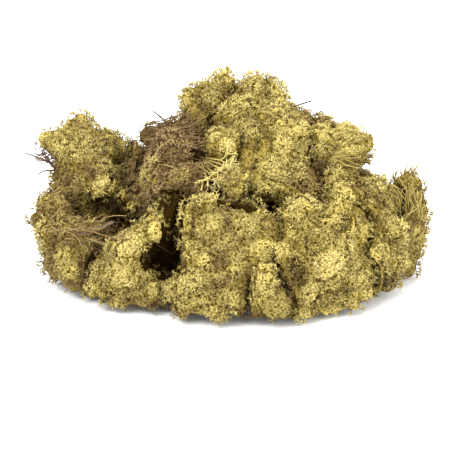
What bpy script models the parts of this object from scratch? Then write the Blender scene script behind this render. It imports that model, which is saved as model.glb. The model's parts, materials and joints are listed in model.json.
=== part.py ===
"""A tangled clump of dried reindeer lichen ("reindeer moss"), lying on a surface.

The clump is a heap of springy tufts that have hooked into each other. Each tuft is a union of
round lobes, flat where it rests and cut back where a neighbour already fills the space. The
solids are the envelopes of the tufts: their surfaces pass through the branch tips.

The tables are in millimetres and the scene is in metres, with +Z up and the origin on the
surface, under the middle of the clump.
"""

import math

import bmesh
import bpy
from mathutils import Matrix, Vector

MM = 0.001

VOXEL = 4.0              # grid that melts the lobes of a tuft together
MELT_PASSES = 5          # smoothing passes over the creases between lobes
LUMP_SPACING = 24.0      # spacing of the small swellings on a tuft
LUMP_HEIGHT = 7.0        # from the bottom of a dimple to the top of a swelling
TUFT_FACES = 240         # triangles left on a tuft before it is cut
GRIP = 0.7               # how far a neighbour is grown before it cuts, which leaves the gap
WELD = 0.05              # points closer than this are one
TABLE_SIZE = 600.0       # block that trims whatever reaches below the surface
STRAND_ROUNDNESS = 1     # bevel resolution of a twig
STRAND_STEPS = 3         # pieces between two points of a twig's path

# Lobes of each tuft, in the order in which the tufts are laid: (x, y, z, radius).
TUFTS = {
    "bed_tuft": [
        (0, 5, 32, 46), (-40, 15, 28, 38), (42, 14, 30, 40), (5, -44, 28, 38), (0, 48, 28, 38),
        (-44, -42, 26, 32), (50, -40, 26, 32), (-42, 52, 26, 32), (46, 54, 26, 32),
        (-74, -40, 26, 26),
    ],
    "hanging_tuft": [
        (4, -84, 85, 12), (-5, -79, 93, 9), (11, -78, 92, 10), (4, -70, 88, 9),
    ],
    "front_ball_tuft": [
        (22, -126, 41, 11), (24, -122, 26, 14), (26, -116, 12, 16),
    ],
    "crown_tuft": [
        (22, 0, 132, 20), (41, 4, 112, 19), (10, -20, 117, 23), (30, -32, 104, 29),
        (18, -56, 82, 20), (42, -52, 81, 22), (30, 8, 95, 38), (34, 30, 84, 34),
    ],
    "crown_left_tuft": [
        (-21, 8, 126, 19), (-5, 6, 131, 17), (-1, 5, 146, 7), (-12, -4, 113, 18),
        (-2, -40, 104, 19), (-12, 24, 104, 26), (-6, 0, 96, 24),
    ],
    "crown_right_tuft": [
        (66, 6, 105, 17), (83, 0, 97, 18), (94, -5, 92, 14), (76, -26, 91, 21),
        (56, -22, 97, 20), (72, 22, 84, 30),
    ],
    "dark_tuft": [
        (-47, -5, 101, 13), (-29, -14, 106, 16), (-36, -38, 95, 23), (-43, -56, 78, 19),
        (-20, -58, 84, 18), (-35, -10, 80, 30),
    ],
    "left_tuft": [
        (-110, 15, 104, 16), (-123, 10, 90, 14), (-133, 12, 98, 8), (-89, 10, 92, 18),
        (-106, -4, 85, 20), (-93, -26, 78, 18), (-119, 0, 69, 16), (-115, -16, 62, 15),
        (-105, 8, 44, 30), (-102, 4, 20, 28), (-104, 22, 24, 28),
    ],
    "middle_left_tuft": [
        (-69, 20, 85, 12), (-58, 0, 73, 20), (-66, -30, 62, 18), (-62, -15, 36, 28),
    ],
    "front_block_tuft": [
        (-24, -104, 20, 22), (-4, -106, 20, 24), (16, -92, 62, 18), (20, -96, 44, 20),
    ],
    "front_left_tuft": [
        (-69, -98, 46, 16), (-58, -95, 54, 15), (-46, -86, 63, 14), (-36, -76, 71, 13),
        (-72, -84, 22, 26), (-54, -88, 16, 20),
    ],
    "left_rim_tuft": [
        (-133, -34, 47, 14), (-123, -28, 55, 17), (-116, -55, 47, 17), (-98, -70, 47, 15),
        (-88, -64, 51, 12), (-113, -40, 22, 26), (-98, -62, 20, 24),
    ],
    "right_shoulder_tuft": [
        (74, -45, 72, 23), (96, -30, 64, 22), (109, -19, 58, 17), (84, -12, 52, 32),
        (90, 0, 24, 32),
    ],
    "front_right_tuft": [
        (47, -85, 62, 20), (76, -80, 58, 21), (41, -106, 47, 18), (64, -99, 44, 21),
        (50, -94, 20, 28), (76, -84, 19, 26),
    ],
    "right_rim_tuft": [
        (94, -60, 59, 18), (108, -54, 43, 18), (91, -75, 41, 18), (100, -56, 20, 28),
    ],
    "right_end_tuft": [
        (129, -10, 67, 14), (132, -20, 51, 15), (122, -15, 54, 15), (122, -8, 28, 24),
        (116, -16, 16, 24),
    ],
    "back_left_tuft": [
        (-72, 62, 46, 34), (-98, 52, 34, 30), (-62, 92, 34, 30), (-80, 70, 20, 36),
    ],
    "back_tuft": [
        (-4, 78, 62, 36), (6, 108, 38, 32), (-28, 104, 32, 28), (4, 102, 20, 34),
        (-30, 98, 20, 30),
    ],
    "back_right_tuft": [
        (62, 64, 60, 34), (92, 48, 40, 30), (66, 92, 36, 30), (76, 74, 20, 36),
        (106, 32, 26, 28),
    ],
}

# A tuft that was pressed flat also holds a slab: centre, size, degrees it leans back and to the
# right.
SLABS = {
    "front_block_tuft": ((-12, -101, 45), (48, 34, 74), 20.0, 9.0),
}

# Litter caught in the clump. Each branch is a path of (x, y, z, radius), and a flat one has a
# width as well.
LITTER = {
    "left_twig": [
        ([(-104, 2, 70, 1.1), (-122, -2, 77, 1.1), (-134, -4, 86, 0.9), (-147, -6, 91, 0.5)], 0),
        ([(-127, -2, 79, 0.9), (-135, -6, 92, 0.7), (-134, -5, 98, 0.4)], 0),
        ([(-122, -2, 76, 0.9), (-135, -4, 79, 0.8), (-138, -3, 74, 0.5)], 0),
    ],
    "dark_twig": [
        ([(-30, -8, 98, 0.9), (-42, -16, 112, 0.9), (-48, -18, 120, 0.8), (-54, -17, 124, 0.5)], 0),
    ],
    "crown_twig": [
        ([(24, 4, 114, 0.8), (42, -2, 123, 0.8), (59, -6, 129, 0.6)], 0),
    ],
    "bark_strip": [
        ([(-106, -77, 50, 0.5), (-98, -80, 54, 0.7), (-88, -79, 56, 0.7), (-78, -75, 60, 0.5)], 7),
    ],
}

GREEN_GOLD = (0.42, 0.33, 0.09, 1.0)
BROWN = (0.16, 0.10, 0.04, 1.0)
BARK = (0.09, 0.05, 0.03, 1.0)
BROWN_TUFTS = ("dark_tuft",)


def matt(name, colour, roughness=0.9):
    """A dull material, made once and then shared."""
    found = bpy.data.materials.get(name)
    if found:
        return found
    made = bpy.data.materials.new(name)
    made.use_nodes = True
    shader = made.node_tree.nodes["Principled BSDF"]
    shader.inputs["Base Color"].default_value = colour
    shader.inputs["Roughness"].default_value = roughness
    made.diffuse_color = colour
    return made


def new_object(name, mesh, home):
    made = bpy.data.objects.new(name, mesh)
    home.objects.link(made)
    return made


def lobes_mesh(name):
    """The separate lobes of a tuft, and its slab if it has one, still overlapping."""
    bm = bmesh.new()
    for x, y, z, radius in TUFTS[name]:
        place = Matrix.Translation(Vector((x, y, z)) * MM)
        bmesh.ops.create_icosphere(bm, subdivisions=3, radius=radius * MM, matrix=place)
    if name in SLABS:
        centre, size, back, right = SLABS[name]
        place = (
            Matrix.Translation(Vector(centre) * MM)
            @ Matrix.Rotation(math.radians(right), 4, "Y")
            @ Matrix.Rotation(math.radians(-back), 4, "X")
            @ Matrix.Diagonal((*(Vector(size) * MM), 1.0))
        )
        bmesh.ops.create_cube(bm, size=1.0, matrix=place)
    mesh = bpy.data.meshes.new(name)
    bm.to_mesh(mesh)
    bm.free()
    return mesh


def branch(name, path, width, home):
    """A tapering stick along a path, or a strip if it has a width."""
    curve = bpy.data.curves.new(name, "CURVE")
    curve.dimensions = "3D"
    curve.twist_mode = "Z_UP"
    curve.bevel_depth = MM
    curve.bevel_resolution = STRAND_ROUNDNESS
    curve.resolution_u = STRAND_STEPS
    curve.extrude = width / 2 * MM
    curve.use_fill_caps = True
    spline = curve.splines.new("NURBS")
    spline.points.add(len(path) - 1)
    spline.order_u = 3
    spline.use_endpoint_u = True
    for point, (x, y, z, radius) in zip(spline.points, path):
        point.co = (x * MM, y * MM, z * MM, 1.0)
        point.radius = radius
        point.tilt = math.radians(90)
    made = helper(name, curve, home)
    mesh = evaluated(made)
    bpy.data.objects.remove(made)
    made = helper(name, mesh, home)
    settle(made)
    return made


def lump_texture():
    """Clouds that raise the swellings, the same on every tuft because they follow world space."""
    found = bpy.data.textures.get("lumps")
    if found:
        return found
    made = bpy.data.textures.new("lumps", "CLOUDS")
    made.noise_scale = LUMP_SPACING * MM
    made.noise_depth = 1
    return made


def grow(tuft):
    """Melts the lobes into one skin, raises its swellings and thins its faces."""
    melt = tuft.modifiers.new("melt", "REMESH")
    melt.mode = "VOXEL"
    melt.voxel_size = VOXEL * MM
    relax = tuft.modifiers.new("relax", "SMOOTH")
    relax.iterations = MELT_PASSES
    swell = tuft.modifiers.new("swell", "DISPLACE")
    swell.texture = lump_texture()
    swell.texture_coords = "GLOBAL"
    swell.strength = LUMP_HEIGHT * MM
    swell.mid_level = 0.5
    made = evaluated(tuft)
    thin = tuft.modifiers.new("thin", "DECIMATE")
    thin.ratio = min(1.0, TUFT_FACES / (2 * len(made.polygons)))
    bpy.data.meshes.remove(made)
    settle(tuft)


def evaluated(obj):
    """The object's mesh with its modifiers applied, as new data."""
    graph = bpy.context.evaluated_depsgraph_get()
    graph.update()
    return bpy.data.meshes.new_from_object(obj.evaluated_get(graph), depsgraph=graph)


def settle(obj):
    """Applies the modifiers, welds close points, keeps the largest body and faces it outwards."""
    mesh = evaluated(obj)
    obj.modifiers.clear()
    obj.data = mesh
    bm = bmesh.new()
    bm.from_mesh(mesh)
    bmesh.ops.remove_doubles(bm, verts=bm.verts, dist=WELD * MM)
    bmesh.ops.dissolve_degenerate(bm, edges=bm.edges, dist=WELD * MM)
    bmesh.ops.triangulate(bm, faces=bm.faces)
    keep_largest(bm)
    bmesh.ops.recalc_face_normals(bm, faces=bm.faces)
    bm.to_mesh(mesh)
    bm.free()


def keep_largest(bm):
    """Removes every body but the one with the most faces."""
    left = set(bm.verts)
    bodies = []
    while left:
        body = set()
        front = [left.pop()]
        while front:
            vert = front.pop()
            body.add(vert)
            for edge in vert.link_edges:
                other = edge.other_vert(vert)
                if other in left:
                    left.discard(other)
                    front.append(other)
        bodies.append(body)
    bodies.sort(key=len)
    for body in bodies[:-1]:
        bmesh.ops.delete(bm, geom=list(body), context="VERTS")


def helper(name, mesh, home):
    made = new_object(name, mesh, home)
    made.hide_render = True
    made.display_type = "WIRE"
    return made


def table_cutter(home):
    """The block under the surface, which flattens what would sink into it."""
    bm = bmesh.new()
    drop = Matrix.Translation((0, 0, -TABLE_SIZE / 2 * MM))
    bmesh.ops.create_cube(bm, size=TABLE_SIZE * MM, matrix=drop)
    mesh = bpy.data.meshes.new("table")
    bm.to_mesh(mesh)
    bm.free()
    return helper("table", mesh, home)


def grown_copy(obj, home):
    """A neighbour swollen by the grip, so that what it cuts stays clear of it."""
    made = helper("grown_" + obj.name, obj.data.copy(), home)
    swell = made.modifiers.new("grip", "DISPLACE")
    swell.strength = GRIP * MM
    swell.mid_level = 0.0
    made.data = evaluated(made)
    made.modifiers.clear()
    return made


def span(obj):
    xs, ys, zs = zip(*(v.co for v in obj.data.vertices))
    return (min(xs), min(ys), min(zs)), (max(xs), max(ys), max(zs))


def meets(a, b):
    (a_low, a_high), (b_low, b_high) = span(a), span(b)
    return all(a_low[i] < b_high[i] and b_low[i] < a_high[i] for i in range(3))


def cut(obj, cutter, operation="DIFFERENCE"):
    part = obj.modifiers.new("cut", "BOOLEAN")
    part.operation = operation
    part.solver = "EXACT"
    part.object = cutter
    settle(obj)


def finish(obj, material):
    obj.data.materials.clear()
    obj.data.materials.append(material)
    obj.data.shade_smooth()


def centre_clump(objects):
    """Moves everything so that the origin is under the middle of the clump's box."""
    spans = [span(obj) for obj in objects]
    low = [min(s[0][i] for s in spans) for i in range(3)]
    high = [max(s[1][i] for s in spans) for i in range(3)]
    shift = Matrix.Translation((-(low[0] + high[0]) / 2, -(low[1] + high[1]) / 2, -low[2]))
    for obj in objects:
        obj.data.transform(shift)


def main():
    for old in list(bpy.data.objects):
        bpy.data.objects.remove(old)
    clump = bpy.data.collections.new("reindeer_moss_clump")
    cutters = bpy.data.collections.new("cutters")
    cutters.hide_render = True
    for home in (clump, cutters):
        bpy.context.scene.collection.children.link(home)
    table = table_cutter(cutters)
    laid = []
    grown = []
    for name, branches in LITTER.items():
        parts = [branch(f"{name}_branch", *one, cutters) for one in branches]
        piece = new_object(name, parts[0].data.copy(), clump)
        for other in parts[1:]:
            cut(piece, other, "UNION")
        finish(piece, matt("bark", BARK))
        laid.append(piece)
        grown += [grown_copy(one, cutters) for one in parts]
    for name in TUFTS:
        tuft = new_object(name, lobes_mesh(name), clump)
        grow(tuft)
        grown_tuft = grown_copy(tuft, cutters)
        cut(tuft, table)
        for neighbour in grown:
            if meets(tuft, neighbour):
                cut(tuft, neighbour)
        finish(tuft, matt("brown", BROWN) if name in BROWN_TUFTS else matt("green_gold", GREEN_GOLD))
        laid.append(tuft)
        grown.append(grown_tuft)
    centre_clump(laid)


main()
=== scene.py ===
"""The looks of a clump of dried reindeer lichen.

Each tuft is a matted core inside the tuft's envelope, dark partly of its own and partly as painted
shade of the deep clump, and sprigs that stand on it and reach the envelope with their tips. A sprig
is a stalk that keeps dividing in three, closed all over.
Bundles of loose stems and one open fan are laid on some of the tufts, and litter lies among them.
Sizes are in millimetres and colours are sRGB bytes. The scene itself is in metres.
"""

import json
import math
import random
from collections import namedtuple

import bmesh
import bpy
import numpy as np
from mathutils import Matrix, Vector, noise
from mathutils.bvhtree import BVHTree

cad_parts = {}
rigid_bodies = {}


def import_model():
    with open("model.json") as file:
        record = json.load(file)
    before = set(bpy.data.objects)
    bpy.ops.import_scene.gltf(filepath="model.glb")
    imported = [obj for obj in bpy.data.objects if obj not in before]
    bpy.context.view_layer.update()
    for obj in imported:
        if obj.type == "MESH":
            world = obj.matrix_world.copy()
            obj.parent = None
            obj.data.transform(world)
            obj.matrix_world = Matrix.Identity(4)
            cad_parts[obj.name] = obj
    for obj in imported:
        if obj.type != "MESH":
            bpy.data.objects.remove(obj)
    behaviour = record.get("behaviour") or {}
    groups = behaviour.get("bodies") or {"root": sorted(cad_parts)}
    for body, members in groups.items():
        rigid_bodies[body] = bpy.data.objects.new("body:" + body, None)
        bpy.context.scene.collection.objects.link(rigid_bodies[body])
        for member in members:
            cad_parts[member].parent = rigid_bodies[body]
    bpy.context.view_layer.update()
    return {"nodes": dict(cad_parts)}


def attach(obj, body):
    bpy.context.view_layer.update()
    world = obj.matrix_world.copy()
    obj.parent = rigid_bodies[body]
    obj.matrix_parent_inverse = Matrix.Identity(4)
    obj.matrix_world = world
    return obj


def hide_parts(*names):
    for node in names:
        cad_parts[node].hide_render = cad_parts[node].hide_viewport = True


MM = 0.001

noise.seed_set(11)       # left alone, noise_vector starts from the clock

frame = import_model()


# ---------------------------------------------------------------- tufts

CORE_GRID = 3.2          # grid of the matted core
SMOOTHING = 3            # passes
TIP_REACH = 1.8          # how far sprigs stand out of the core
HEAD_SPACING = 20.0      # distance between the rounded heads that sprigs gather in
HEAD_RELIEF = 7.0        # depth of the creases between heads
CREASE_WIDTH = 0.62      # of a head's half width
BEND_SPACING = 9.0       # the heads' outlines are bent: how often, and how far
BEND_REACH = 2.5
NUB_SPACING = 7.5        # distance between the small nubs on a head
NUB_RELIEF = 2.4
TORN_SPACING = 21.0      # distance between torn places, which show the twiggy inside
TORN_START = Vector((-10.6, 18.8, -14.7))
TORN_DEPTH = 3.0
THINNEST_GROWTH = 1.2    # least depth of a core below its envelope
HEAD_LIFT = 2.5          # how far one head stands out above another
HOOKED_DEPTH = 1.8       # how deep the core lies where two tufts hook into each other
HOOK_REACH = 7.0         # how near a neighbour is for that
THINNEST_SHARE = 0.22    # of a tuft's thickness that may be given to sprigs on one side
CORE_FOOT = 0.4          # the lowest that a core and its sprigs reach above the floor
SPRIG_FOOT = 0.15
SKY_RAYS = 14            # over half a ball
SKY_START = 1.5          # off the core
SKY_REACH = 60.0
NEAR_FLOOR = 25.0        # below this the floor hides part of the sky
BARE_FOOT = 3.0          # below this nothing grows
FULL_ABOVE = 5.0         # this much higher everything does
BROAD_PATCH = 34.0       # sizes of the patches of hue
FINE_PATCH = 11.0

UPRIGHT = (0.2, -0.1, 1.0)
LEVEL = (1.6, 0.0, 0.2)

# The lower half of the colour map is for sprigs: hue runs along it and lightness, painted shade
# included, up it. The upper half is for the cores: two rows of squares of painted net, the lower
# row darker as painted shade and the upper one lighter as painted light, with a square for each
# band of hue.
HUE_BANDS = 4
SHADED_ROW = 0.34        # how light each row is
LIT_ROW = 0.68
NET_SIDE = 24.0          # the side of a square of net
NET_MARGIN = 0.1         # of it, that centres of faces keep clear of
NET_MESH = 2.9           # distance between holes in the net
NET_SWAY = 1.8           # how far its branches stray

# hue: 0 brown, 0.5 green, 1 straw. stems and straws: shares of brown stems and of long straws.
# apart: widens the spacing of sprigs. flow: the way the straws lie. straw_hue: added to hue.
# relief: of the full depth of the creases.
Look = namedtuple(
    "Look", "hue stems straws apart flow straw_hue relief", defaults=(1.0, LEVEL, -0.3, 1.0),
)

TUFTS = {
    "bed_tuft": Look(0.2, 0.4, 0.2, 1.6),
    "hanging_tuft": Look(0.68, 0.2, 0.0),
    "front_ball_tuft": Look(0.64, 0.1, 0.0),
    "crown_tuft": Look(0.68, 0.12, 0.0),
    "crown_left_tuft": Look(0.72, 0.1, 0.0),
    "crown_right_tuft": Look(0.66, 0.2, 0.15, 1.0, (1.0, 0.0, 0.1), -0.05),
    "dark_tuft": Look(0.26, 0.9, 0.5, 1.1, LEVEL, -0.14, 0.3),
    "left_tuft": Look(0.62, 0.2, 0.0, relief=0.7),
    "middle_left_tuft": Look(0.38, 0.3, 0.3),
    "front_block_tuft": Look(0.60, 0.15, 0.0),
    "front_left_tuft": Look(0.68, 0.1, 0.0),
    "left_rim_tuft": Look(0.54, 0.4, 1.2, 1.0, (1.0, -0.25, 0.1), -0.26),
    "right_shoulder_tuft": Look(0.66, 0.15, 0.0),
    "front_right_tuft": Look(0.74, 0.1, 0.0),
    "right_rim_tuft": Look(0.64, 0.15, 0.0),
    "right_end_tuft": Look(0.66, 0.4, 2.2, 1.3, UPRIGHT, 0.0, 0.35),
    "back_left_tuft": Look(0.58, 0.15, 0.0, 1.2),
    "back_tuft": Look(0.64, 0.15, 0.0, 1.2),
    "back_right_tuft": Look(0.60, 0.15, 0.0, 1.2),
}

# Small lobes that stand out of a tuft's envelope: a place and a radius.
LOBES = {
    "left_tuft": ((-131, -2, 99), 9),
    "dark_tuft": ((-56, -16, 106), 9),
    "crown_right_tuft": ((95, -26, 103), 9),
}

# Hollows between tufts, where the core sinks, little grows and painted shade darkens everything: a
# # place and how far it reaches.
HOLLOWS = (
    ((-36, -84, 70), 18), ((-39, -82, 57), 24), ((-45, -80, 42), 28),
    ((-79, -37, 50), 19), ((-76, -32, 78), 8),
    ((-3, -104, 80), 7), ((6, -104, 80), 7), ((15, -102, 79), 7), ((16, -78, 101), 8),
    ((-21, -57, 103), 7),
)
HOLLOW_DEPTH = 2.5
HOLLOW_SHADE_EDGE = 0.3        # from here on, of 0 to 1, the core of a hollow is painted near black as shade
HOLLOW_SHADE_HUE = (0.05, 0.04)        # on the colour map: where the hollow's painted shade starts and its width
# where the hollow's painted shade lies up the colour map, and its height
HOLLOW_SHADE_LIGHT = (0.002, 0.01)

SPRIG_LIGHT = 0.48       # how far up the colour map the lightest sprig is
STEM_LIGHT = (0.1, 0.28)         # the same for loose stems: the darkest, and the range above it
SIDE_SHIFT = 0.03        # how far one side of a sprig lies from the other on the map
STEM_SIDE = (0.04, 0.02)         # the same for loose stems, along it and up it


# ---------------------------------------------------------------- node trees


class Wire:
    """An output socket that can stand in a Python expression."""

    def __init__(self, tree, socket):
        self.tree = tree
        self.socket = socket

    def _math(self, operation, *values):
        return make(self.tree, "ShaderNodeMath", {"operation": operation}, *values)

    def __add__(self, other):
        return self._math("ADD", self, other)

    def __radd__(self, other):
        return self._math("ADD", other, self)

    def __sub__(self, other):
        return self._math("SUBTRACT", self, other)

    def __rsub__(self, other):
        return self._math("SUBTRACT", other, self)

    def __mul__(self, other):
        return self._math("MULTIPLY", self, other)

    def __rmul__(self, other):
        return self._math("MULTIPLY", other, self)

    def __truediv__(self, other):
        return self._math("DIVIDE", self, other)

    def __rtruediv__(self, other):
        return self._math("DIVIDE", other, self)

    def __pow__(self, other):
        return self._math("POWER", self, other)

    def clamped(self):
        settings = {"operation": "ADD", "use_clamp": True}
        return make(self.tree, "ShaderNodeMath", settings, self, 0.0)


def make(tree, kind, settings, *values, out=0, **named):
    """Adds a node: its settings first, then the values or links of its sockets."""
    node = tree.nodes.new(kind)
    for key, value in settings.items():
        if key == "stops":
            fill_ramp(node.color_ramp, value)
        else:
            setattr(node, key, value)
    sockets = list(zip(node.inputs, values))
    sockets += [(node.inputs[key.replace("_", " ")], value) for key, value in named.items()]
    for socket, value in sockets:
        if isinstance(value, Wire):
            tree.links.new(value.socket, socket)
        elif value is not None:
            socket.default_value = value
    return Wire(tree, node.outputs[out]) if node.outputs else node


def fill_ramp(ramp, stops):
    while len(ramp.elements) > 1:
        ramp.elements.remove(ramp.elements[-1])
    for index, (place, colour) in enumerate(stops):
        stop = ramp.elements[0] if index == 0 else ramp.elements.new(place)
        stop.position = place
        stop.color = linear(colour)


def linear(colour):
    """An sRGB byte colour as the linear colour that a shader takes."""
    parts = [c / 255 for c in colour]
    return (*[p / 12.92 if p <= 0.04045 else ((p + 0.055) / 1.055) ** 2.4 for p in parts], 1.0)


# ---------------------------------------------------------------- finishes


def new_finish(name):
    material = bpy.data.materials.new(name)
    material.use_nodes = True
    tree = material.node_tree
    shader = tree.nodes["Principled BSDF"]
    return material, tree, shader


def painted_net(tree, across, up, band):
    """How light the net is: thin branches round holes painted dark as the shade between them, with
    fainter ones behind, dimmed as painted shade of lying deeper.
    """
    spot = make(
        tree, "ShaderNodeCombineXYZ", {}, across * NET_SIDE, up * NET_SIDE, band * 50.0,
    )
    sway = make(tree, "ShaderNodeTexNoise", {}, spot, out=1, Scale=0.45, Detail=1.0)
    bent = make(
        tree, "ShaderNodeVectorMath", {"operation": "MULTIPLY_ADD"}, sway, (NET_SWAY,) * 3, spot,
    )

    def branches(mesh_size, thin, thick):
        edge = make(
            tree, "ShaderNodeTexVoronoi", {"feature": "DISTANCE_TO_EDGE"},
            bent, Scale=1 / mesh_size,
        )
        return make(
            tree, "ShaderNodeMapRange", {"interpolation_type": "SMOOTHSTEP"},
            edge, thin, thick, 1.0, 0.0,
        )

    near = branches(NET_MESH, 0.11, 0.21)
    behind = branches(NET_MESH * 0.6, 0.10, 0.26)
    return near * 0.72 + behind * (1.0 - near) * 0.22


def lichen_finish():
    """The finish of the colour map: see HUE_BANDS."""
    material, tree, shader = new_finish("lichen")
    place = make(tree, "ShaderNodeUVMap", {"uv_map": "OFBake"})
    u = make(tree, "ShaderNodeSeparateXYZ", {}, place, out=0)
    v = make(tree, "ShaderNodeSeparateXYZ", {}, place, out=1)
    painted = make(tree, "ShaderNodeMath", {"operation": "GREATER_THAN"}, v, 0.5)
    band = make(tree, "ShaderNodeMath", {"operation": "FLOOR"}, u * HUE_BANDS)
    lit = make(tree, "ShaderNodeMath", {"operation": "GREATER_THAN"}, v, 0.75)
    up = v * 4.0 - 2.0 - lit
    net = painted_net(tree, u * HUE_BANDS - band, up, band + lit * HUE_BANDS)
    net = net * (SHADED_ROW + lit * (LIT_ROW - SHADED_ROW))
    speckle = make(tree, "ShaderNodeTexNoise", {}, place, Scale=60.0, Detail=2.0)
    hue = u + painted * ((band + 0.5) / HUE_BANDS - u)
    light = v * 2.0 + painted * (net - v * 2.0)
    light = (light * (speckle * 0.4 + 0.8)).clamped()
    tip = make(
        tree, "ShaderNodeValToRGB",
        {"stops": [
            (0.0, (138, 112, 76)), (0.2, (176, 149, 100)), (0.4, (184, 167, 94)),
            (0.6, (212, 195, 114)), (0.8, (226, 205, 118)), (1.0, (236, 222, 166)),
        ]},
        hue + (speckle - 0.5) * 0.12,
    )
    # The dark end that lightness runs down to: the browner bases of the lichen, and the near black
    # of painted shade.
    root = make(
        tree, "ShaderNodeValToRGB",
        {"stops": [
            (0.0, (18, 11, 4)), (0.4, (54, 39, 8)), (0.8, (80, 60, 14)), (1.0, (130, 108, 52)),
        ]},
        hue,
    )
    mix = make(
        tree, "ShaderNodeMix", {"data_type": "RGBA"},
        light, None, None, None, None, None, root, tip, out=2,
    )
    # Darker colours are made more saturated: painted warm shade, as where light bounces among
    # yellow branches.
    deep = make(tree, "ShaderNodeHueSaturation", {}, 0.5, 1.09 - light * 0.22, 1.0, 1.0, mix)
    tree.links.new(deep.socket, shader.inputs["Base Color"])
    shader.inputs["Roughness"].default_value = 0.85
    shader.inputs["Specular IOR Level"].default_value = 0.0
    return material


def bark_finish(name, dark, pale):
    """Fissured bark, with patches of tone and fine fissures."""
    material, tree, shader = new_finish(name)
    place = make(tree, "ShaderNodeTexCoord", {}, out=3)
    patches = make(tree, "ShaderNodeTexNoise", {}, place, Scale=220.0, Detail=4.0)
    fissures = make(tree, "ShaderNodeTexNoise", {}, place, Scale=1400.0, Detail=3.0)
    tone = make(
        tree, "ShaderNodeValToRGB", {"stops": [(0.3, dark), (0.7, pale)]},
        patches * 0.6 + fissures * 0.4,
    )
    tree.links.new(tone.socket, shader.inputs["Base Color"])
    rough = 0.95 - fissures * 0.25
    tree.links.new(rough.socket, shader.inputs["Roughness"])
    bump = make(tree, "ShaderNodeBump", {}, Strength=0.6, Distance=0.0004, Height=fissures)
    tree.links.new(bump.socket, shader.inputs["Normal"])
    return material


# ---------------------------------------------------------------- sprigs

BURIED = (0, 0, -0.6 * MM)       # where a sprig starts, inside the core
BOUGH = 0.44             # radii
STEM_FOOT = 0.55
STEM = 0.45
STRAW_FOOT = 0.3
STRAW = 0.5
STRAW_TAPER = 0.04       # how much thinner a straw gets at each step
FAN_FOOT = 0.6


class Sprig:
    """A stalk that divides in three: every open end is a triangle, and closing it makes a tip."""

    def __init__(self, seed):
        self.bm = bmesh.new()
        self.rise = self.bm.verts.layers.float.new("rise")
        self.side = self.bm.verts.layers.float.new("side")
        self.dice = random.Random(seed)

    def point(self, place, rise, side):
        vert = self.bm.verts.new(place)
        vert[self.rise] = rise
        vert[self.side] = side
        return vert

    def open_end(self, middle, way, radius, rise):
        turn = Vector(way).to_track_quat("Z", "Y")
        ring = []
        for index in range(3):
            angle = math.radians(120) * index
            spoke = Vector((math.cos(angle), math.sin(angle), 0)) * radius
            ring.append(self.point(Vector(middle) + turn @ spoke, rise, index / 2))
        return ring

    def start(self, radius, place=BURIED, way=(0, 0, 1), rise=0.0):
        """A flat bottom with an open end on it."""
        ring = self.open_end(place, way, radius, rise)
        self.bm.faces.new(ring[::-1])
        return ring

    def sprout(self, way, length, radius, rise):
        """Widens from a point that is buried in the core to an open end."""
        root = self.point(BURIED, 0.0, 0.5)
        ring = self.open_end(way * length, way, radius, rise)
        for index in range(3):
            self.bm.faces.new((root, ring[(index + 1) % 3], ring[index]))
        return ring

    def wander(self, direction, amount):
        push = Vector([self.dice.uniform(-1, 1) for _ in range(3)])
        return (direction + push * amount).normalized()

    def stretch(self, ring, direction, length, radius, rise):
        """Carries an open end on as a stalk, and returns its new end."""
        middle = sum((v.co for v in ring), Vector()) / 3
        goal = middle + direction * length
        new = []
        for index, vert in enumerate(ring):
            spoke = vert.co - middle
            spoke -= direction * spoke.dot(direction)
            new.append(self.point(goal + spoke.normalized() * radius, rise, index / 2))
        for i in range(3):
            j = (i + 1) % 3
            self.bm.faces.new((ring[i], ring[j], new[j]))
            self.bm.faces.new((ring[i], new[j], new[i]))
        return new

    def divide(self, ring, direction, rise):
        """Raises a point over an open end, which leaves three open ends round it."""
        middle = sum((v.co for v in ring), Vector()) / 3
        width = (ring[0].co - middle).length
        top = self.point(middle + direction * width * 0.7, rise, 0.5)
        ends = []
        for i in range(3):
            j = (i + 1) % 3
            outward = (ring[i].co + ring[j].co) / 2 - middle
            ends.append(((ring[i], ring[j], top), outward.normalized()))
        return ends

    def close(self, ring, direction, length, rise=1.0):
        middle = sum((v.co for v in ring), Vector()) / 3
        tip = self.point(middle + direction * length, rise, 0.5)
        for i in range(3):
            self.bm.faces.new((ring[i], ring[(i + 1) % 3], tip))

    def finish(self, name, home):
        bmesh.ops.recalc_face_normals(self.bm, faces=self.bm.faces)
        mesh = bpy.data.meshes.new(name)
        self.bm.to_mesh(mesh)
        self.bm.free()
        mesh.shade_smooth()
        made = bpy.data.objects.new(name, mesh)
        home.objects.link(made)
        return made


def head_sprig(seed, home):
    """A short bushy sprig: a stalk, three boughs that spread and nine blunt tips."""
    sprig = Sprig(seed)
    dice = sprig.dice
    up = Vector((0, 0, 1))
    lean = sprig.wander(up, 0.25)
    ring = sprig.sprout(lean, dice.uniform(2.0, 3.2) * MM, BOUGH * MM, 0.3)
    for end, outward in sprig.divide(ring, lean, 0.4):
        bough = sprig.wander(lean * 0.9 + outward * dice.uniform(0.7, 1.4), 0.3)
        tuft = sprig.stretch(end, bough, dice.uniform(1.5, 2.4) * MM, BOUGH * MM, 0.7)
        for tip, aside in sprig.divide(tuft, bough, 0.85):
            way = sprig.wander(bough * 0.4 + aside * dice.uniform(0.9, 1.4), 0.35)
            sprig.close(tip, way, dice.uniform(1.4, 2.5) * MM)
    return sprig.finish(f"head_sprig_{seed}", home)


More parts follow.
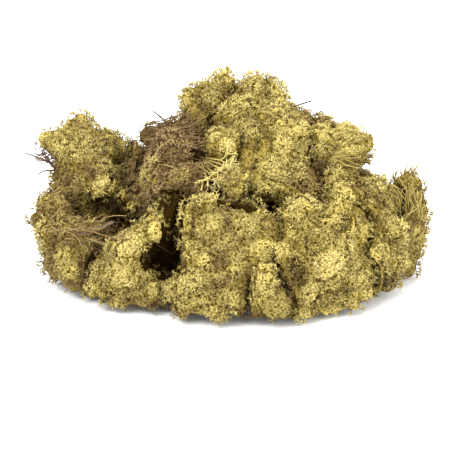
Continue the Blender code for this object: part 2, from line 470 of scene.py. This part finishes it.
def stem_sprig(seed, home):
    """A long, bare, bent stem that forks near its end."""
    sprig = Sprig(seed)
    dice = sprig.dice
    way = Vector((0, 0, 1))
    bend = sprig.wander(Vector((0.4, 0, 0)), 0.3) * 0.4
    end = sprig.start(STEM_FOOT * MM)
    for step in range(3):
        way = sprig.wander((way + bend).normalized(), 0.1)
        end = sprig.stretch(end, way, dice.uniform(1.6, 2.4) * MM, STEM * MM, 0.25 + step * 0.15)
    ends = sprig.divide(end, way, 0.7)
    for index, (fork, outward) in enumerate(ends):
        turned = sprig.wander(way * 0.9 + outward * 0.7, 0.2)
        if index == 0:
            fork = sprig.stretch(fork, turned, dice.uniform(1.6, 2.6) * MM, STEM * MM, 0.8)
            for tip, aside in sprig.divide(fork, turned, 0.85):
                last = sprig.wander(turned * 0.9 + aside * 0.8, 0.2)
                sprig.close(tip, last, dice.uniform(1.2, 2.0) * MM)
        else:
            sprig.close(fork, turned, dice.uniform(1.8, 3.0) * MM)
    return sprig.finish(f"stem_sprig_{seed}", home)


def straw(seed, home):
    """A dead, leafless stalk that lies along the tuft, bent like a bow."""
    sprig = Sprig(seed)
    dice = sprig.dice
    way = Vector((0, 0.1, 1)).normalized()
    end = sprig.start(STRAW_FOOT * MM)
    length = dice.uniform(1.8, 3.6)
    for step in range(5):
        way = sprig.wander(way + Vector((0, -0.09, 0)), 0.22)
        thick = (STRAW - STRAW_TAPER * step) * MM
        end = sprig.stretch(end, way, length * MM, thick, 0.4 + step * 0.1)
    sprig.close(end, way, length * 0.6 * MM)
    return sprig.finish(f"straw_{seed}", home)


# The open fan. A root and a point to grow towards for each stalk, then the length, the radius and
# the lightness of the branches at each division.
FAN_STALKS = (
    ((-16, -62, 101), (20, -86, 100)), ((-15, -64, 100), (22, -92, 94)),
    ((-15, -66, 99), (20, -97, 89)), ((-14, -65, 98), (12, -100, 95)),
    ((-16, -66, 96), (8, -102, 86)), ((-17, -65, 95), (0, -99, 82)),
    ((-18, -63, 95), (-8, -96, 84)),
)
FAN_LEVELS = ((7.0, 0.6, 0.5), (6.0, 0.54, 0.7), (4.4, 0.48, 0.85), (3.0, 0.44, 1.0))
FAN_FACING = (0, -0.95, 0.3)
FAN_HUE = 0.58
FAN_SEED = 73


def fan_out(sprig, end, way, facing, level):
    """Carries a pale branch on, and divides it within a sheet, down to its tips."""
    length, radius, rise = FAN_LEVELS[level]
    if level == len(FAN_LEVELS) - 1:
        sprig.close(end, way, length * MM)
        return
    for _ in range(2):
        way = sprig.wander(way, 0.16)
        reach = length * sprig.dice.uniform(0.4, 0.65)
        end = sprig.stretch(end, way, reach * MM, radius * MM, rise)
    for fork, outward in sprig.divide(end, way, rise):
        outward -= facing * outward.dot(facing) * 0.7
        turned = sprig.wander(way + outward * 0.75, 0.15)
        fan_out(sprig, fork, turned, facing, level + 1)


def fan():
    """An open fan of thick pale branches, as a mesh on the colour map of the lichen."""
    sprig = Sprig(FAN_SEED)
    for root, toward in FAN_STALKS:
        root = Vector(root) * MM
        way = (Vector(toward) * MM - root).normalized()
        end = sprig.start(FAN_FOOT * MM, root, way)
        end = sprig.stretch(end, way, 6 * MM, FAN_FOOT * MM, 0.25)
        fan_out(sprig, end, way, Vector(FAN_FACING).normalized(), 0)
    return on_map(sprig, FAN_HUE)


# Loose stems that lie nearly side by side on a tuft. corner and size: of the box that they start
# in. reach: the shortest and the longest step of a stem. bend: how much it strays at each step.
# light: of the darkest and the lightest stem.
Bundle = namedtuple("Bundle", "count corner size way reach bend hue light")

BUNDLES = {
    "dark_tuft": Bundle(
        72, (-61, -36, 101), (27, 26, 14), (1, 0, 0.05), (2.6, 5.6), 0.2, 0.1, (-0.25, 0.5),
    ),
    "right_end_tuft": Bundle(
        36, (121, -37, 47), (15, 10, 16), (0, -0.1, 1), (2.4, 4.2), 0.4, 0.5, (0.0, 0.8),
    ),
    "crown_right_tuft": Bundle(
        9, (68, -52, 93), (6, 5, 9), (1, -0.1, 0.05), (2.6, 4.4), 0.25, 0.5, (0.0, 0.6),
    ),
    "left_rim_tuft": Bundle(
        34, (-112, -87, 49), (22, 16, 8), (1, -0.3, 0.05), (2, 4.6), 0.35, 0.15, (-0.2, 0.6),
    ),
}

LOOSE_STEM = (0.3, 0.52)         # the thinnest and the thickest radius
LOOSE_STEPS = 5

# The knotted end of the left twig.
TWIG_KNOT = Bundle(34, (-141, -7, 83), (12, 6, 10), (1, 0, 0.1), (1.0, 2.2), 0.9, 0.0, (0.0, 0.0))


def bundle(count, corner, size, way, reach, bend, hue, light):
    """Loose stems, as a mesh on the colour map of the lichen."""
    sprig = Sprig(count)
    dice = sprig.dice
    for _ in range(count):
        root = Vector([low + wide * dice.random() for low, wide in zip(corner, size)]) * MM
        course = sprig.wander(Vector(way), bend)
        tone = dice.uniform(*light)
        thick = dice.uniform(*LOOSE_STEM) * MM
        end = sprig.start(thick, root, course, tone)
        for _ in range(LOOSE_STEPS):
            course = sprig.wander(course, bend)
            end = sprig.stretch(end, course, dice.uniform(*reach) * MM, thick, tone)
        sprig.close(end, course, 2 * MM, tone)
    return on_map(sprig, hue)


def on_map(sprig, hue):
    """The sprig's mesh, with its place on the colour map of the lichen."""
    made = sprig.finish("loose", bpy.context.scene.collection)
    mesh = made.data
    bpy.data.objects.remove(made)
    rise = read(mesh, "rise")
    side = read(mesh, "side")
    layer = mesh.uv_layers.new(name="OFBake")
    for loop, spot in zip(mesh.loops, layer.uv):
        at = loop.vertex_index
        light = STEM_LIGHT[0] + STEM_LIGHT[1] * rise[at]
        spot.vector = (hue + STEM_SIDE[0] * side[at], light + STEM_SIDE[1] * side[at])
    for spare in ("rise", "side"):
        mesh.attributes.remove(mesh.attributes[spare])
    return mesh


def join_onto(thing, extra, finish):
    """Adds another mesh to a piece's own."""
    number = list(thing.data.materials).index(finish)
    for polygon in extra.polygons:
        polygon.material_index = number
    bm = bmesh.new()
    bm.from_mesh(thing.data)
    bm.from_mesh(extra)
    bm.to_mesh(thing.data)
    bm.free()
    bpy.data.meshes.remove(extra)


def kit(name, maker, seeds):
    """A collection of one kind of sprig, for the growth to pick from."""
    home = bpy.data.collections.new(name)
    bpy.context.scene.collection.children.link(home)
    for seed in seeds:
        maker(seed, home)
    return home


# ---------------------------------------------------------------- cores


def settle(thing):
    """Turns a piece's modifiers into a plain mesh, which it returns."""
    graph = bpy.context.evaluated_depsgraph_get()
    graph.update()
    mesh = bpy.data.meshes.new_from_object(thing.evaluated_get(graph), depsgraph=graph)
    thing.modifiers.clear()
    thing.data = mesh
    return mesh


def softened(name, mesh, grid):
    """A new piece whose mesh is redrawn on a grid and smoothed."""
    thing = bpy.data.objects.new(name, mesh)
    bpy.context.scene.collection.objects.link(thing)
    net = thing.modifiers.new("net", "REMESH")
    net.mode = "VOXEL"
    net.voxel_size = grid * MM
    soft = thing.modifiers.new("soft", "SMOOTH")
    soft.iterations = SMOOTHING
    settle(thing)
    return thing


def cad_copy(name):
    """The node's mesh with its loose triangles merged."""
    bm = bmesh.new()
    bm.from_mesh(frame["nodes"][name].data)
    bmesh.ops.remove_doubles(bm, verts=bm.verts, dist=1e-5)
    mesh = bpy.data.meshes.new(name + "_shell")
    bm.to_mesh(mesh)
    bm.free()
    mesh.materials.clear()
    return mesh


def add_lobe(mesh, place, radius):
    bm = bmesh.new()
    bm.from_mesh(mesh)
    bmesh.ops.create_icosphere(
        bm, subdivisions=2, radius=radius * MM, matrix=Matrix.Translation(Vector(place) * MM),
    )
    bm.to_mesh(mesh)
    bm.free()


def solid_tree(meshes):
    """A search tree over several meshes."""
    points = []
    faces = []
    for mesh in meshes:
        first = len(points)
        points += [v.co.copy() for v in mesh.vertices]
        faces += [[first + i for i in p.vertices] for p in mesh.polygons]
    return BVHTree.FromPolygons(points, faces)


def array_of(items, what, width=3, kind=np.float32):
    """One property of all of a mesh's points, edges, faces or corners, with a row for each."""
    flat = np.empty(len(items) * width, kind)
    items.foreach_get(what, flat)
    return flat.reshape(-1, width)


def points_of(mesh):
    """The places, the normals and the edges of a mesh's points."""
    place = array_of(mesh.vertices, "co").astype(float)
    out = array_of(mesh.vertices, "normal").astype(float)
    return place, out, array_of(mesh.edges, "vertices", 2, np.int32)


def move_points(mesh, place):
    mesh.vertices.foreach_set("co", place.astype(np.float32).ravel())


def spread_out(values, edges, passes):
    """Averages a value with its neighbours'."""
    count = np.zeros(len(values))
    np.add.at(count, edges[:, 0], 1)
    np.add.at(count, edges[:, 1], 1)
    for _ in range(passes):
        total = np.zeros(len(values))
        np.add.at(total, edges[:, 0], values[edges[:, 1]])
        np.add.at(total, edges[:, 1], values[edges[:, 0]])
        values = 0.5 * values + 0.5 * total / np.maximum(count, 1)
    return values


def sky_directions():
    """Directions spread evenly over a ball."""
    turn = math.pi * (3 - math.sqrt(5))
    out = []
    for k in range(SKY_RAYS * 2):
        z = 1 - (2 * k + 1) / (SKY_RAYS * 2)
        r = math.sqrt(1 - z * z)
        out.append(Vector((r * math.cos(turn * k), r * math.sin(turn * k), z)))
    return out


def rounded(place, spacing):
    """How high a point stands on a rounded cell, from 0 in a crease to 1, and the cell's dice."""
    (d1, d2, _, _), (centre, _, _, _) = noise.voronoi(place / (spacing * MM))
    flank = max(0.0, 1 - (d2 - d1) / CREASE_WIDTH)
    return 1 - flank ** 2, noise.cell(centre * 57.3)


def heads(place):
    """How high a point stands on its head and on its nub, and the head's own dice."""
    warp = noise.noise_vector(place / (BEND_SPACING * MM)) * BEND_REACH * MM
    crest, dice = rounded(place + warp, HEAD_SPACING)
    nub, _ = rounded(place - warp * 0.6, NUB_SPACING)
    return crest, nub, dice


def core_of(name):
    """The matted core of a tuft, with its heads and creases, deep enough for the sprigs on it."""
    own = cad_copy(name)
    if name in LOBES:
        add_lobe(own, *LOBES[name])
    thing = softened(name + "_core", own, CORE_GRID)
    mesh = thing.data
    inside = solid_tree([own])
    others = solid_tree([frame["nodes"][other].data for other in TUFTS if other != name])
    bpy.data.meshes.remove(own)
    place, out, edges = points_of(mesh)
    thick, hooked, crest, nub, torn, hollow, dice = np.zeros((7, len(place)))
    for i, (p, n) in enumerate(zip(place, out)):
        p = Vector(p)
        n = Vector(n)
        thick[i] = inside.ray_cast(p - n * 0.5 * MM, -n)[3] or 4 * MM
        hooked[i] = others.find_nearest(p)[3] / MM
        crest[i], nub[i], dice[i] = heads(p)
        torn[i] = noise.noise(p / (TORN_SPACING * MM) + TORN_START)
        hollow[i] = max(2 - 2 * (p / MM - Vector(at)).length / reach for at, reach in HOLLOWS)
    torn = np.clip((torn - 0.1) / 0.25, 0, 1)
    hollow = np.clip(hollow, 0, 1)
    thick = spread_out(thick, edges, 3)
    hooked = spread_out(np.clip(1.15 - hooked / HOOK_REACH, 0, 1), edges, 2)
    share = np.minimum(1.0, thick * THINNEST_SHARE / ((TIP_REACH + HEAD_RELIEF) * MM))
    relief = HEAD_RELIEF * (1 - crest) + NUB_RELIEF * (1 - nub) * crest + TORN_DEPTH * torn
    relief *= TUFTS[name].relief
    depth = np.maximum(TIP_REACH + relief - HEAD_LIFT * (dice - 0.2), THINNEST_GROWTH) * share
    depth += HOLLOW_DEPTH * hollow
    depth += (HOOKED_DEPTH - depth) * hooked
    place -= out * spread_out(depth, edges, 1)[:, None] * MM
    place[:, 2] = np.maximum(place[:, 2], CORE_FOOT * MM)
    move_points(mesh, place)
    mesh.update()
    vigour = np.clip(share, 0.8, 1.0) * (0.62 + 0.38 * crest) * (1 - 0.2 * hooked)
    for label, values in (
        ("crest", crest), ("dice", dice), ("torn", torn), ("hooked", hooked),
        ("hollow", hollow), ("vigour", vigour),
    ):
        store(mesh, label, values)
    return thing


def open_sky(place, out, world):
    """How much of the sky each point of a core sees, from 0 to 1."""
    sky = np.zeros(len(place))
    directions = sky_directions()
    for i, (p, n) in enumerate(zip(place, out)):
        n = Vector(n)
        start = Vector(p) + n * SKY_START * MM
        ways = [way for way in directions if way.dot(n) > 0.15]
        blocked = sum(world.ray_cast(start, way, SKY_REACH * MM)[0] is not None for way in ways)
        below = sum(way.z < -0.2 for way in ways) * max(0.0, 1 - p[2] / (NEAR_FLOOR * MM))
        sky[i] = max(0.0, 1 - (blocked + 0.8 * below) / len(ways))
    return sky


def look_around(thing, name, world):
    """Gives every point of a core its hue, its painted light and shade, and how much grows on it.
    """
    mesh = thing.data
    look = TUFTS[name]
    place, out, edges = points_of(mesh)
    sky = spread_out(open_sky(place, out, world), edges, 1)
    crest, dice, torn, hooked, hollow = (
        read(mesh, label) for label in ("crest", "dice", "torn", "hooked", "hollow")
    )
    broad, fine = (
        np.array([noise.noise(Vector(p) / (patch * MM)) for p in place])
        for patch in (BROAD_PATCH, FINE_PATCH)
    )
    top, foot = place[:, 2].max(), place[:, 2].min()
    high = (place[:, 2] - foot) / (top - foot)
    # shaded: how much painted shade a point takes: in creases between heads, where it sees little
    # sky, where tufts hook together, and in torn places.
    shaded = (1 - crest) ** 1.5 * 0.6 + np.clip(0.6 - sky, 0, 1) + 0.3 * hooked + 0.5 * torn
    tint = look.hue + 0.15 * broad + 0.10 * fine + 0.16 * (dice - 0.5)
    # Painted shade: shaded places turn browner; the hue is also browner towards the bottom of the
    # tuft.
    tint -= 0.32 * shaded + 0.16 * np.clip(0.7 - 2 * high, 0, 1)
    turned_up = np.clip((out[:, 2] + 0.75) / 0.35, 0, 1)
    lifted = np.clip((place[:, 2] - BARE_FOOT * MM) / (FULL_ABOVE * MM), 0, 1)
    cover = np.clip((sky - 0.02) / 0.09, 0, 1) * turned_up * lifted
    cover *= (0.6 + 0.4 * crest) * (1 - 0.4 * torn) * (1 - 0.6 * hollow)
    strawy = np.clip(look.straws * (0.25 + 0.9 * broad + 2.6 * (high - 0.58)), 0, 1) * cover
    stemmy = np.clip(look.stems + 0.8 * shaded, 0, 1) * cover
    # Painted shade: hollows turn browner still.
    tint = np.clip(tint - 0.4 * hollow, 0.0, 0.8)
    # The net's shaded row is chosen by painted shade, and also for brown hues, which are darker of
    # their own.
    lay_net(mesh, place, tint, shaded + np.clip(0.7 - 2.4 * tint, 0, 1), hollow)
    store(mesh, "hue", tint)
    # Painted shade: darker where a point sees little sky, in creases between heads, where tufts
    # hook together, in torn places and most in hollows; then the lightest places are held down.
    shade = (1 - 0.64 * (1 - sky) ** 1.4) * (0.74 + 0.26 * crest) * (1 - 0.2 * hooked)
    shade *= (1 - 0.2 * torn) * (1 - 0.9 * hollow)
    shade *= 1.12 - 0.26 * shade
    store(mesh, "shade", shade)
    store(mesh, "cover", cover * (1 - 0.8 * strawy))
    store(mesh, "stemmy", stemmy)
    store(mesh, "strawy", strawy)


def lay_net(mesh, place, tint, shaded, hollow):
    """Gives every corner of a core its place in a square of painted net, seen straight on.

    In a hollow it is the dark end of the sprigs' half of the map, painted near black as shade.
    """
    polygons = mesh.polygons
    centre = array_of(polygons, "center")
    facing = array_of(polygons, "normal")
    corners = array_of(polygons, "loop_total", 1, np.int32)[:, 0]
    owner = np.repeat(np.arange(len(polygons)), corners)
    vert = array_of(mesh.loops, "vertex_index", 1, np.int32)[:, 0]
    axes = np.array([(1, 2), (0, 2), (0, 1)])[np.abs(facing).argmax(axis=1)]
    middle = np.take_along_axis(centre, axes, 1) / (NET_SIDE * MM)
    aside = np.take_along_axis(place[vert], axes[owner], 1) / (NET_SIDE * MM) - middle[owner]
    room = 1 - 2 * NET_MARGIN
    within = NET_MARGIN + np.mod(middle, room)
    within = np.clip(within[owner] + aside, 0.01, 0.99)
    dice = np.random.default_rng(7).uniform(-0.5, 0.5, len(polygons))
    first = vert[np.cumsum(corners) - 1]
    band = np.clip(np.floor(tint[first] * HUE_BANDS + dice), 0, HUE_BANDS - 1)
    # Painted shade: shaded places take the darker row of net, the rest the lighter one.
    lit = shaded[first] + 0.3 * dice < 0.42
    across = (band[owner] + within[:, 0]) / HUE_BANDS
    up = 0.5 + 0.25 * (lit[owner] + within[:, 1])
    # Painted shade: the core of a hollow takes the near black end of the map.
    dark = hollow[first][owner] > HOLLOW_SHADE_EDGE
    hollow_shade_u = HOLLOW_SHADE_HUE[0] + HOLLOW_SHADE_HUE[1] * within[:, 0]
    hollow_shade_v = HOLLOW_SHADE_LIGHT[0] + HOLLOW_SHADE_LIGHT[1] * within[:, 1]
    store(mesh, "net_u", np.where(dark, hollow_shade_u, across), "CORNER")
    store(mesh, "net_v", np.where(dark, hollow_shade_v, up), "CORNER")


def read(mesh, name):
    return array_of(mesh.attributes[name].data, "value", 1)[:, 0].astype(float)


def store(mesh, name, values, domain="POINT"):
    layer = mesh.attributes.new(name, "FLOAT", domain)
    layer.data.foreach_set("value", values.astype(np.float32))


# ---------------------------------------------------------------- growth

SPRIG_SPACING = 2.25
STEM_SPACING = 3.0
STRAW_SPACING = 2.2
CROWDING = 3.2           # points tried for each that fits
SEED_STEP = 101          # from one tuft to the next

# What the cores and sprigs tell the growth. It is taken off the finished meshes.
GUIDES = (
    "hue", "shade", "crest", "dice", "torn", "hooked", "hollow", "cover", "stemmy", "strawy",
    "vigour", "whim", "rise", "side", "net_u", "net_v",
)


def named_input(tree, name, kind, value=None):
    socket = tree.interface.new_socket(name=name, in_out="INPUT", socket_type=kind)
    if value is not None:
        socket.default_value = value
    return socket


def growth_tree(finish):
    """Scatters sprigs, stems and straws over a core, and makes one mesh of them."""
    tree = bpy.data.node_groups.new("lichen growth", "GeometryNodeTree")
    named_input(tree, "Core", "NodeSocketGeometry")
    for kit_name in ("Sprigs", "Stems", "Straws"):
        named_input(tree, kit_name, "NodeSocketCollection")
    named_input(tree, "Sprig spacing", "NodeSocketFloat", SPRIG_SPACING * MM)
    named_input(tree, "Stem spacing", "NodeSocketFloat", STEM_SPACING * MM)
    named_input(tree, "Straw spacing", "NodeSocketFloat", STRAW_SPACING * MM)
    named_input(tree, "Size", "NodeSocketFloat", 1.0)
    named_input(tree, "Flow", "NodeSocketVector", LEVEL)
    named_input(tree, "Straw hue", "NodeSocketFloat", 0.0)
    named_input(tree, "Seed", "NodeSocketInt", 1)
    tree.interface.new_socket(name="Tuft", in_out="OUTPUT", socket_type="NodeSocketGeometry")
    entry = make(tree, "NodeGroupInput", {}).socket.node
    given = {socket.name: Wire(tree, socket) for socket in entry.outputs if socket.name}

    def field(name):
        return make(tree, "GeometryNodeInputNamedAttribute", {"data_type": "FLOAT"}, name)

    def dice(kind, out, salt, *ends):
        """A random value. The sockets for its ends come in pairs, one pair for each kind."""
        spare = (None,) * (2 * out)
        return make(
            tree, "FunctionNodeRandomValue", {"data_type": kind}, *spare, *ends, out=out, Seed=salt,
        )

    def random_number(low, high, salt):
        return dice("FLOAT", 1, salt, low, high)

    def random_push(amount, salt):
        return dice("FLOAT_VECTOR", 0, salt, (-amount,) * 3, (amount,) * 3)

    def vector(operation, *values):
        return make(tree, "ShaderNodeVectorMath", {"operation": operation}, *values)

    def layer(kit_name, spacing, density, lean, size, salt, flat=False):
        """One kind of sprig, scattered over the core and standing on it or lying along it."""
        points = make(
            tree, "GeometryNodeDistributePointsOnFaces", {"distribute_method": "POISSON"},
            given["Core"], Distance_Min=given[spacing],
            Density_Max=CROWDING / given[spacing] ** 2.0, Density_Factor=density,
            Seed=given["Seed"] + float(salt),
        )
        normal = Wire(tree, points.socket.node.outputs["Normal"])
        if flat:
            way = vector("ADD", vector("NORMALIZE", given["Flow"]), random_push(0.38, salt + 5))
            held = vector("CROSS_PRODUCT", vector("CROSS_PRODUCT", normal, way), normal)
            lift = make(
                tree, "ShaderNodeVectorMath", {"operation": "SCALE"},
                normal, Scale=random_number(0.0, 0.25, salt + 6),
            )
            aim = vector("ADD", vector("NORMALIZE", held), lift)
        else:
            raised = vector("ADD", normal, (0.0, 0.0, 0.25))
            aim = vector("ADD", raised, random_push(lean, salt + 1))
        stand = make(tree, "FunctionNodeAlignRotationToVector", {"axis": "Z"}, Vector=aim)
        angle = random_number(0.0, math.tau, salt + 2)
        spin = make(tree, "ShaderNodeCombineXYZ", {}, 0.0, 0.0, angle)
        spun = make(tree, "FunctionNodeEulerToRotation", {}, spin)
        turned = make(
            tree, "FunctionNodeRotateRotation", {"rotation_space": "LOCAL"}, stand, spun,
        )
        pieces = make(
            tree, "GeometryNodeCollectionInfo", {}, given[kit_name],
            Separate_Children=True, Reset_Children=True,
        )
        pick = dice("INT", 2, salt + 3, 0, 999)
        scale = random_number(size[0], size[1], salt + 4) * field("vigour") * given["Size"]
        placed = make(
            tree, "GeometryNodeInstanceOnPoints", {},
            points, None, pieces, True, pick, turned, scale,
        )
        return make(
            tree, "GeometryNodeStoreNamedAttribute", {"data_type": "FLOAT", "domain": "INSTANCE"},
            placed, None, "whim", random_number(-1.0, 1.0, salt + 7),
        )

    sprigs = layer("Sprigs", "Sprig spacing", field("cover"), 0.45, (0.8, 1.25), 10)
    stems = layer("Stems", "Stem spacing", field("stemmy"), 1.3, (0.8, 1.2), 30)
    straws = layer("Straws", "Straw spacing", field("strawy"), 0.3, (0.7, 1.3), 50, flat=True)

    def mapped(geometry, u, v):
        both = make(tree, "ShaderNodeCombineXYZ", {}, u, v, 0.0)
        return make(
            tree, "GeometryNodeStoreNamedAttribute", {"data_type": "FLOAT2", "domain": "CORNER"},
            geometry, None, "OFBake", both,
        )

    def grown(instances, hue_shift, whim, dim):
        """Real meshes with their place on the colour map."""
        real = make(tree, "GeometryNodeRealizeInstances", {}, instances)
        hue = field("hue") + hue_shift + field("whim") * whim + field("side") * SIDE_SHIFT
        # Sprigs are lighter towards their tips: their bases are browner of their own, and darker as
        # painted shade deep in the mat; the core's painted shade is laid over that.
        light = field("rise") ** 0.9 * field("shade") * dim + field("side") * SIDE_SHIFT
        return mapped(real, hue.clamped(), light.clamped() * SPRIG_LIGHT)

    matted = mapped(given["Core"], field("net_u"), field("net_v"))
    joined = make(tree, "GeometryNodeJoinGeometry", {})
    for one in (
        matted,
        grown(sprigs, 0.0, 0.10, 1.0),
        grown(stems, -0.10, 0.12, 0.95),
        grown(straws, given["Straw hue"], 0.08, 0.9),
    ):
        tree.links.new(one.socket, joined.socket.node.inputs[0])
    dressed = make(tree, "GeometryNodeSetMaterial", {}, joined, None, finish)
    make(tree, "NodeGroupOutput", {}, dressed)
    return tree


def grow_tuft(core, name, tree, kits, seed):
    growth = core.modifiers.new("growth", "NODES")
    growth.node_group = tree
    inputs = [item for item in tree.interface.items_tree if item.in_out == "INPUT"]
    keys = {item.name: item.identifier for item in inputs}
    look = TUFTS[name]
    settings = {
        "Sprig spacing": SPRIG_SPACING * look.apart * MM,
        "Stem spacing": STEM_SPACING * look.apart * MM,
        "Straw spacing": STRAW_SPACING * look.apart * MM,
        "Size": look.apart ** 0.6,
        "Flow": look.flow,
        "Straw hue": look.straw_hue,
        "Seed": seed,
    }
    for label, value in (*kits.items(), *settings.items()):
        growth[keys[label]] = value
    mesh = settle(core)
    for spare in GUIDES:
        if spare in mesh.attributes:
            mesh.attributes.remove(mesh.attributes[spare])
    place = array_of(mesh.vertices, "co").astype(float)
    place[:, 2] = np.maximum(place[:, 2], SPRIG_FOOT * MM)
    move_points(mesh, place)
    core.name = name + "_lichen"
    mesh.name = core.name
    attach(core, "root")
    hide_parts(name)


# ---------------------------------------------------------------- litter

TWIG_GRID = 0.3
STRIP_GRID = 0.35
BARK_KNOBS = ((2.2, 0.22), (0.8, 0.08))          # how far apart and how high


def litter_piece(name, finish, grid):
    """A twig or strip of bark, rounder and rougher than its solid. grid: as for softened()."""
    thing = softened(name + "_bark", cad_copy(name), grid)
    mesh = thing.data
    for vert in mesh.vertices:
        knob = sum(noise.noise(vert.co / (apart * MM)) * height for apart, height in BARK_KNOBS)
        vert.co += vert.normal * knob * MM
    mesh.materials.append(finish)
    mesh.shade_smooth()
    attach(thing, "root")
    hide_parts(name)
    return thing


# ---------------------------------------------------------------- studio

LIGHTS = (                # a name, a place in metres, a size and a power
    ("key", (-0.6, -1.1, 1.2), 0.8, 34.0),
    ("fill", (1.0, -1.1, 0.7), 1.0, 16.0),
    ("top", (0.1, 0.3, 1.5), 1.0, 22.0),
)
LIT_POINT = (0, 0, 0.06)         # what the lights face, in metres
SEEN_POINT = (-0.0027, -0.0013, 0.0348)
CAMERA_TILT = math.radians(17)
CAMERA_DISTANCE = 0.921
FLOOR_SIZE = 8.0


def studio():
    scene = bpy.context.scene
    scene.view_settings.view_transform = "Standard"
    world = bpy.data.worlds.new("studio")
    scene.world = world
    world.use_nodes = True
    back = world.node_tree.nodes["Background"]
    back.inputs["Color"].default_value = (1.0, 1.0, 1.0, 1.0)
    back.inputs["Strength"].default_value = 1.52
    floor_mesh = bpy.data.meshes.new("floor")
    bm = bmesh.new()
    bmesh.ops.create_grid(bm, x_segments=1, y_segments=1, size=FLOOR_SIZE)
    bm.to_mesh(floor_mesh)
    bm.free()
    floor = bpy.data.objects.new("floor", floor_mesh)
    scene.collection.objects.link(floor)
    pale, _, shader = new_finish("pale_floor")
    shader.inputs["Base Color"].default_value = (0.86, 0.86, 0.86, 1.0)
    shader.inputs["Roughness"].default_value = 0.9
    floor_mesh.materials.append(pale)
    for name, place, size, power in LIGHTS:
        lamp = bpy.data.lights.new(name, "AREA")
        lamp.shape = "DISK"
        lamp.size = size
        lamp.energy = power
        holder = bpy.data.objects.new(name, lamp)
        holder.location = place
        aim = Vector(LIT_POINT) - Vector(place)
        holder.rotation_euler = aim.to_track_quat("-Z", "Y").to_euler()
        scene.collection.objects.link(holder)
    camera = bpy.data.cameras.new("camera")
    camera.lens = 100
    camera.sensor_width = 36
    view = bpy.data.objects.new("camera", camera)
    back_and_up = Vector((0, -math.cos(CAMERA_TILT), math.sin(CAMERA_TILT)))
    view.location = Vector(SEEN_POINT) + back_and_up * CAMERA_DISTANCE
    view.rotation_euler = (math.radians(90) - CAMERA_TILT, 0, 0)
    scene.collection.objects.link(view)
    scene.camera = view


# ---------------------------------------------------------------- making

studio()
lichen = lichen_finish()
kits = {
    "Sprigs": kit("sprigs", head_sprig, range(1, 8)),
    "Stems": kit("stems", stem_sprig, range(11, 17)),
    "Straws": kit("straws", straw, range(21, 26)),
}
tree = growth_tree(lichen)
cores = {name: core_of(name) for name in TUFTS}
world = solid_tree([core.data for core in cores.values()])
for name, core in cores.items():
    look_around(core, name, world)
for number, (name, core) in enumerate(cores.items()):
    grow_tuft(core, name, tree, kits, number * SEED_STEP)
join_onto(cores["hanging_tuft"], fan(), lichen)
for name, stems in BUNDLES.items():
    join_onto(cores[name], bundle(*stems), lichen)
for home in kits.values():
    for spare in list(home.objects):
        bpy.data.objects.remove(spare)
    bpy.data.collections.remove(home)

bark = bark_finish("bark", (30, 20, 12), (96, 70, 48))
twigs = {
    name: litter_piece(name, bark, TWIG_GRID) for name in ("left_twig", "dark_twig", "crown_twig")
}
knot = bundle(*TWIG_KNOT)
knot.uv_layers.remove(knot.uv_layers[0])
join_onto(twigs["left_twig"], knot, bark)
peeled = bark_finish("peeled_bark", (30, 20, 13), (92, 68, 46))
litter_piece("bark_strip", peeled, STRIP_GRID)
